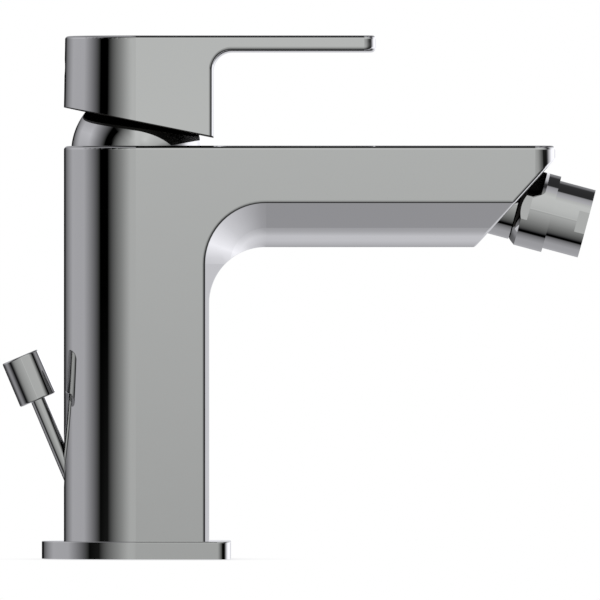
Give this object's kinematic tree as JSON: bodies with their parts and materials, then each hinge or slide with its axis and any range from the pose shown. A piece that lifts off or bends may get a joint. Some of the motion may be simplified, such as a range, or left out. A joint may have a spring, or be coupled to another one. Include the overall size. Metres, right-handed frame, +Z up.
{
  "type": "bidet mixer",
  "caption": "Single-lever bidet mixer: flat-sided column and spout, lever over a dome, ball-jointed nozzle and a pop-up waste rod behind.",
  "frame": {"origin": "on the column's axis, at the underside of the base plate, where it stands on the bidet's deck", "axes": "+X towards the spout's tip, +Y to the left seen from behind the spout, +Z up along the column"},
  "size_m": [0.1883, 0.06, 0.1659],
  "materials": {
    "chrome": "bright chrome plating on brass",
    "brass": "turned, unplated",
    "steel": "fine turned stainless steel",
    "black_rubber": "matt black seal rubber",
    "white_plastic": "white acetal",
    "grey_plastic": "grey moulded plastic",
    "ceramic": "lapped white ceramic",
    "plug_plastic": "half red, half blue plastic"
  },
  "bodies": {
    "mixer_body": {"body": "chrome", "base_plate": "chrome", "base_gasket": "black_rubber", "dome_cover": "chrome", "cartridge_nut": "brass", "cartridge_housing": "white_plastic", "housing_seal": "black_rubber", "cartridge_base": "grey_plastic", "port_seals": "black_rubber", "fixed_disc": "ceramic", "rod_guide": "white_plastic", "joint_collar": "chrome", "collar_seal": "black_rubber"},
    "turret": {"turret": "white_plastic", "stem_pin": "steel"},
    "handle": {"stem": "brass", "lever": "chrome", "set_screw": "steel", "indicator_plug": "plug_plastic"},
    "disc_slider": {"moving_disc": "ceramic", "disc_carrier": "white_plastic"},
    "joint_liner": {"swivel_liner": "white_plastic"},
    "nozzle": {"swivel_ring": "chrome", "ball_seal": "black_rubber", "aerator_housing": "chrome", "aerator_seal": "black_rubber", "aerator_insert": "grey_plastic", "flow_screen": "steel"},
    "pop_up_rod": {"pull_rod": "chrome", "rod_knob": "chrome"}
  },
  "joints": [
    {"name": "lever_turn", "type": "hinge", "parent": "mixer_body", "child": "turret", "pos_m": [0, 0, 0.1289], "axis": [0, 0, 1], "range_deg": [-45, 45]},
    {"name": "lever_lift", "type": "hinge", "parent": "turret", "child": "handle", "pos_m": [0, 0, 0.1289], "axis": [0, -1, 0], "range_deg": [0, 25]},
    {"name": "disc_slide", "type": "slide", "parent": "turret", "child": "disc_slider", "axis": [1, 0, 0], "range_m": [0, 0.0052]},
    {"name": "nozzle_swing", "type": "hinge", "parent": "mixer_body", "child": "joint_liner", "pos_m": [0.1312, 0, 0.10945], "axis": [0.2588, 0, 0.9659], "range_deg": [-12, 12]},
    {"name": "nozzle_tilt", "type": "hinge", "parent": "joint_liner", "child": "nozzle", "pos_m": [0.1312, 0, 0.10945], "axis": [0, 1, 0], "range_deg": [-12, 12]},
    {"name": "rod_slide", "type": "slide", "parent": "mixer_body", "child": "pop_up_rod", "axis": [-0.3891, 0, 0.9212], "range_m": [-0.0055, 0.014]}
  ],
  "couplings": [
    {"joint": "disc_slide", "follows": "lever_lift", "m_per_rad": 0.011623}
  ]
}
